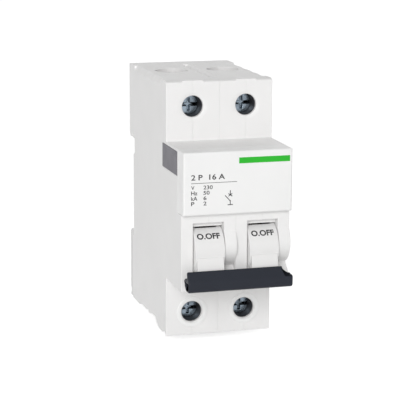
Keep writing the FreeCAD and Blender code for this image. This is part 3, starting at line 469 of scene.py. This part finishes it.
def round_edges(piece, width, weight_of=even, sharp=SHARP_OVER):
    """Bevels the piece's sharp edges. weight_of gives each edge's share of the width from its two ends."""
    mesh = piece.data
    weights = mesh.attributes.new("bevel_weight_edge", "FLOAT", "EDGE")
    normals = {}
    for face in mesh.polygons:
        for key in face.edge_keys:
            normals.setdefault(key, []).append(face.normal.copy())
    bevelled = 0
    for edge in mesh.edges:
        sides = normals.get(edge.key, [])
        if len(sides) != 2 or sides[0].angle(sides[1], 0) < sharp:
            continue
        a, b = (mesh.vertices[i].co for i in edge.vertices)
        weights.data[edge.index].value = weight_of(a, b)
        bevelled += 1
    bevel = piece.modifiers.new("round", "BEVEL")
    bevel.limit_method = "WEIGHT"
    bevel.width = width
    bevel.segments = 2
    bevel.use_clamp_overlap = False
    apply_modifiers(piece)
    smooth_flats(piece)
    print(piece.name, "edges", bevelled, "faces", len(mesh.polygons))


def stand_for(piece, name, node_name):
    """The piece takes the place of one CAD node, with its slot and body."""
    body = next(b for b, members in BEHAVIOUR["bodies"].items() if node_name in members)
    settle(piece, name, SLOT_OF[node_name], body)
    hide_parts(node_name)


# %% [markdown]
# ## The case
# Each pole's case is two half shells that meet on a fine seam through the screw holes, and the two
# poles meet on one more. The seams are crisp and the outer edges are softly rounded, so the bevel's
# width follows where an edge lies: half of it on a seam and all of it elsewhere.

# %% Round the half shells
CASE_ROUNDING, SEAM_SHARE = 0.22 * MM, 0.5
SEAMS = (*POLE_X.values(), 0)
ON_THE_SEAM = 0.01 * MM


def case_weight(a, b):
    """Less on an edge that lies on a seam."""
    for seam in SEAMS:
        if abs(a.x - seam) < ON_THE_SEAM and abs(b.x - seam) < ON_THE_SEAM:
            return SEAM_SHARE
    return 1.0


for pole in POLE_X:
    for half in ("_case_base", "_case_cover"):
        shell = clean_copy(pole + half)
        round_edges(shell, CASE_ROUNDING, case_weight)
        stand_for(shell, pole + half + "_shell", pole + half)

# %% [markdown]
# ## Front cover, side plate, toggles, tie bar and rail clips
# These are mouldings too. Each has one radius all round: the thin plate's is the smallest, and the
# tie bar, which fingers push, has the largest.

# %% Round the other mouldings
ROUNDING_MM = {"front_cover": 0.25, "side_plate": 0.12, "left_toggle": 0.2, "right_toggle": 0.2,
               "handle_bar": 0.45, "left_rail_clip": 0.25, "right_rail_clip": 0.25}

for node_name, width in ROUNDING_MM.items():
    moulding = clean_copy(node_name)
    round_edges(moulding, width * MM)
    stand_for(moulding, node_name + "_moulding", node_name)

# %% [markdown]
# ## Terminal screws
# Each screw has a combined head: a cross for one driver and a slot for another, pressed into zinc
# plated steel. It sits deep in its hole, so little light gets in and only its edges shine. The copy
# of the CAD screw keeps the pressed shape, and its edges are rounded as the press leaves them. The
# hole's wall round the head is in shadow, so a dark tube there is painted shade.

# %% Round the screws and paint the shade in their holes
SCREW_ROUNDING = 0.16 * MM
HEAD_FRONT_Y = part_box("left_line_screw")[0].y
SHADE_TUBE_RADIUS, SHADE_TUBE_WALL, SHADE_TUBE_DEPTH, SHADE_TUBE_FORWARD = 3.47 * MM, 0.12 * MM, 5.4 * MM, 1.4 * MM
FACING_FRONT = (math.radians(90), 0, 0)


def ring(radius, depth, wall, sides, place):
    """A short open tube that faces the front, with its wall inside the radius."""
    clear_selection()
    bpy.ops.mesh.primitive_cylinder_add(vertices=sides, radius=radius, depth=depth, end_fill_type="NOTHING",
                                        location=place, rotation=FACING_FRONT)
    tube = bpy.context.object
    thick = tube.modifiers.new("wall", "SOLIDIFY")
    thick.thickness = wall
    thick.offset = -1
    apply_modifiers(tube)
    return tube


for pole, x in POLE_X.items():
    for end in ("_line", "_load"):
        name = pole + end + "_screw"
        z = JOINT_PLACE[name + "_turn"][2]
        screw = clean_copy(name)
        round_edges(screw, SCREW_ROUNDING, sharp=SHARP_OVER_ON_SCREWS)
        stand_for(screw, name + "_pressed", name)
        # Painted shade: a dark tube in each hole stands for the shadow on the hole's wall round the head.
        shade_tube = ring(SHADE_TUBE_RADIUS, SHADE_TUBE_DEPTH, SHADE_TUBE_WALL, 48, (x, HEAD_FRONT_Y - SHADE_TUBE_FORWARD, z))
        smooth_flats(shade_tube)
        settle(shade_tube, name + "_sleeve", "inner_plastic", "case")
print("screw head front at", round(HEAD_FRONT_Y / MM, 2), "mm")

# %% [markdown]
# ## Rims and lintels
# Two more details belong to the case. Each lower screw hole has a low flat rim, a fifth of a
# millimetre proud. Above each toggle a light lintel closes the window down to the barrel, so that
# only a hair's gap is left dark.

# %% Rims round the lower holes and lintels over the toggles
SCREW_RECESS = 5.5 * MM
TERMINAL_FACE_Y = HEAD_FRONT_Y - SCREW_RECESS
RIM_OUTER, RIM_WIDTH, RIM_DEPTH, RIM_ROUNDING = 5.2 * MM, 1.35 * MM, 0.36 * MM, 0.12 * MM

TOGGLE_Y, TOGGLE_Z = JOINT_PLACE["handle_turn"][1:]
TOGGLE_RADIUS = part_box("left_toggle")[1].z - TOGGLE_Z
LINTEL_WIDTH, LINTEL_GAP, LINTEL_ROUNDING = 9.9 * MM, 0.18 * MM, 0.1 * MM
LINTEL_TOP, LINTEL_FRONT, LINTEL_BACK = -0.3 * MM, -60.6 * MM, -55.0 * MM
LINTEL_BOTTOM = TOGGLE_Z + TOGGLE_RADIUS + LINTEL_GAP


def make_rim(pole, x):
    """A low flat rim round the lower screw hole, half sunk into the face."""
    z = JOINT_PLACE[pole + "_load_screw_turn"][2]
    rim = ring(RIM_OUTER, RIM_DEPTH, RIM_WIDTH, 72, (x, TERMINAL_FACE_Y, z))
    round_edges(rim, RIM_ROUNDING)
    settle(rim, pole + "_load_hole_rim", "cover", "case")


def make_lintel(pole, x):
    """A light strip between the window's upper edge and the barrel."""
    clear_selection()
    bpy.ops.mesh.primitive_cube_add(
        size=1, location=(x, (LINTEL_FRONT + LINTEL_BACK) / 2, (LINTEL_BOTTOM + LINTEL_TOP) / 2))
    lintel = bpy.context.object
    lintel.scale = (LINTEL_WIDTH, LINTEL_BACK - LINTEL_FRONT, LINTEL_TOP - LINTEL_BOTTOM)
    bpy.ops.object.transform_apply(location=True, rotation=True, scale=True)
    round_edges(lintel, LINTEL_ROUNDING)
    settle(lintel, pole + "_window_lintel", "shell", "case")


for pole, x in POLE_X.items():
    make_rim(pole, x)
    make_lintel(pole, x)
print("lintel height in mm", round((LINTEL_TOP - LINTEL_BOTTOM) / MM, 2))

# %% [markdown]
# ## Printed bars
# The marks are pad printed, which leaves a film of ink a few hundredths of a millimetre thick. Each
# mark is a thin mesh just proud of the plastic. The first two are the green bar at the top of the
# cover and the fine line under the heading. Places on the cover are in millimetres from the middle of
# the rail seat.

# %% Print the bars on the cover
INK = 0.03 * MM
FRONT_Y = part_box("front_cover")[0].y


def printed(piece, name, ink, body="case"):
    """A flat mark that is already in its place gets its thickness, ink and body."""
    film = piece.modifiers.new("film", "SOLIDIFY")
    film.thickness = INK
    film.offset = 0
    apply_modifiers(piece)
    settle(piece, name, ink, body)


def flat_mark(name, ink, left, right, low, high):
    """A printed bar on the front cover, given by its edges in millimetres."""
    clear_selection()
    bpy.ops.mesh.primitive_plane_add(size=1, rotation=FACING_FRONT,
                                     location=((left + right) / 2 * MM, FRONT_Y, (low + high) / 2 * MM))
    mark = bpy.context.object
    mark.scale = ((right - left) * MM, (high - low) * MM, 1)
    printed(mark, name, ink)


flat_mark("green_mark", "green_ink", left=0.1, right=17.0, low=18.75, high=20.65)
flat_mark("heading_line", "dark_ink", left=-15.5, right=-0.5, low=12.95, high=13.1)
print("front cover at", round(FRONT_Y / MM, 2), "mm")

# %% [markdown]
# ## Words and figures
# The words are Blender text, made into meshes and stretched to a height and a width. The figures on
# the cover are plain ratings that any breaker could carry: poles and current in the heading, then a
# row each for volts, hertz, breaking current and poles.

# %% Words on the cover
MERGE_WITHIN_TEXT = 0.0001
ROWS = [("V", "230"), ("Hz", "50"), ("kA", "6"), ("P", "2")]
ROW_TOP, ROW_STEP, ROW_HEIGHT = 11.0, 1.7, 1.25
UNIT_LEFT, FIGURE_LEFT = -15.5, -11.5
UNIT_WIDTH, UNIT_MARGIN, FIGURE_WIDTH = 0.95, 0.1, 1.0
HEADING_WEIGHT, ROW_WEIGHT = 0.016, 0.014


def word(text, height, width, weight):
    """A flat text mesh in the XZ plane, its lower left corner at the origin. The weight makes it bolder."""
    clear_selection()
    bpy.ops.object.text_add(rotation=FACING_FRONT)
    made = bpy.context.object
    made.data.body = text
    made.data.offset = weight
    made.data.resolution_u = 4
    bpy.ops.object.convert(target="MESH")
    made = bpy.context.object
    bpy.ops.object.transform_apply(location=True, rotation=True, scale=True)
    across = [vertex.co.x for vertex in made.data.vertices]
    upward = [vertex.co.z for vertex in made.data.vertices]
    edit_all(made)
    bpy.ops.mesh.remove_doubles(threshold=MERGE_WITHIN_TEXT)
    bpy.ops.transform.translate(value=(-min(across), 0, -min(upward)))
    done()
    made.scale = (width / (max(across) - min(across)), 1, height / (max(upward) - min(upward)))
    only(made)
    bpy.ops.object.transform_apply(location=True, rotation=True, scale=True)
    return made


def cover_word(name, text, left, foot, height, width, weight):
    """A word on the front cover, in millimetres."""
    made = word(text, height * MM, width * MM, weight)
    made.location = (left * MM, FRONT_Y, foot * MM)
    printed(made, name, "dark_ink")


cover_word("heading_figures", "2 P  16 A", UNIT_LEFT, 14.0, 1.75, 11.0, HEADING_WEIGHT)
for i, (unit, figure) in enumerate(ROWS):
    foot = ROW_TOP - ROW_STEP * i
    row = "row_%d" % (i + 1)
    unit_width = UNIT_WIDTH * len(unit) + UNIT_MARGIN
    figure_width = FIGURE_WIDTH * len(figure)
    cover_word(row + "_unit", unit, UNIT_LEFT, foot, ROW_HEIGHT, unit_width, ROW_WEIGHT)
    cover_word(row + "_figure", figure, FIGURE_LEFT, foot, ROW_HEIGHT, figure_width, ROW_WEIGHT)
print("rows", len(ROWS))

# %% [markdown]
# ## Words on the toggles
# Both toggles say that the breaker is off. The print follows the barrel, so its mesh is cut into
# narrow bands first, and each point is then wound round the barrel by its height.

# %% Wind a word round each toggle
WORD_HEIGHT, WORD_WIDTH, WORD_WEIGHT = 2.1 * MM, 7.6 * MM, 0.03
WORD_LEFT, WORD_FOOT = 3.95 * MM, math.radians(35)
BANDS = 8


def wrap_round_barrel(piece, left, foot):
    """Winds a flat word round the barrel. Its foot is an angle, measured up from straight ahead."""
    height = max(vertex.co.z for vertex in piece.data.vertices)
    for i in range(1, BANDS):
        edit_all(piece)
        bpy.ops.mesh.bisect(plane_co=(0, 0, height * i / BANDS), plane_no=(0, 0, 1))
        done()
    reach = TOGGLE_RADIUS + INK / 2
    for vertex in piece.data.vertices:
        angle = foot + vertex.co.z / TOGGLE_RADIUS
        forward = reach * math.cos(angle)
        upward = reach * math.sin(angle)
        vertex.co = Vector((left + vertex.co.x, TOGGLE_Y - forward, TOGGLE_Z + upward))


for pole, x in POLE_X.items():
    off = word("O.OFF", WORD_HEIGHT, WORD_WIDTH, WORD_WEIGHT)
    wrap_round_barrel(off, x - WORD_LEFT, WORD_FOOT)
    printed(off, pole + "_toggle_word", "dark_ink", "handle")
print("words on the toggles", len(POLE_X))

# %% [markdown]
# ## The small sign
# Beside the rows stands a small line drawing. Here it is the usual sign for a breaker's contact: a
# lead, a cross, an open blade and a lead. Each stroke is a thin flat bar between two points, and the
# strokes are joined into one film. The points are shares of the sign's height, counted from the foot
# of the lower lead.

# %% Draw the contact sign
SIGN_X, SIGN_FOOT, SIGN_HEIGHT, SIGN_LINE = -2.7, 5.7, 4.5, 0.26
STROKES = {"upper_lead": [(0, 1), (0, 0.7)],
           "cross_down": [(-0.12, 0.78), (0.12, 0.62)],
           "cross_up": [(-0.12, 0.62), (0.12, 0.78)],
           "blade": [(-0.36, 0.66), (0, 0.26)],
           "lower_lead": [(0, 0.3), (0, 0)],
           "foot": [(-0.16, 0), (0.16, 0)]}


def draw_stroke(start, end):
    """A flat bar from start to end, half a line's width longer at both ends."""
    x0, z0, x1, z1 = [share * SIGN_HEIGHT for share in (*start, *end)]
    clear_selection()
    bpy.ops.mesh.primitive_plane_add(
        size=1, rotation=(FACING_FRONT[0], -math.atan2(z1 - z0, x1 - x0), 0),
        location=((SIGN_X + (x0 + x1) / 2) * MM, FRONT_Y, (SIGN_FOOT + (z0 + z1) / 2) * MM))
    stroke = bpy.context.object
    stroke.scale = ((math.hypot(x1 - x0, z1 - z0) + SIGN_LINE) * MM, SIGN_LINE * MM, 1)
    return stroke


strokes = [draw_stroke(*ends) for ends in STROKES.values()]
for stroke in strokes:
    stroke.select_set(True)
bpy.context.view_layer.objects.active = strokes[0]
bpy.ops.object.join()
printed(strokes[0], "contact_sign", "dark_ink")
print("strokes", len(STROKES))
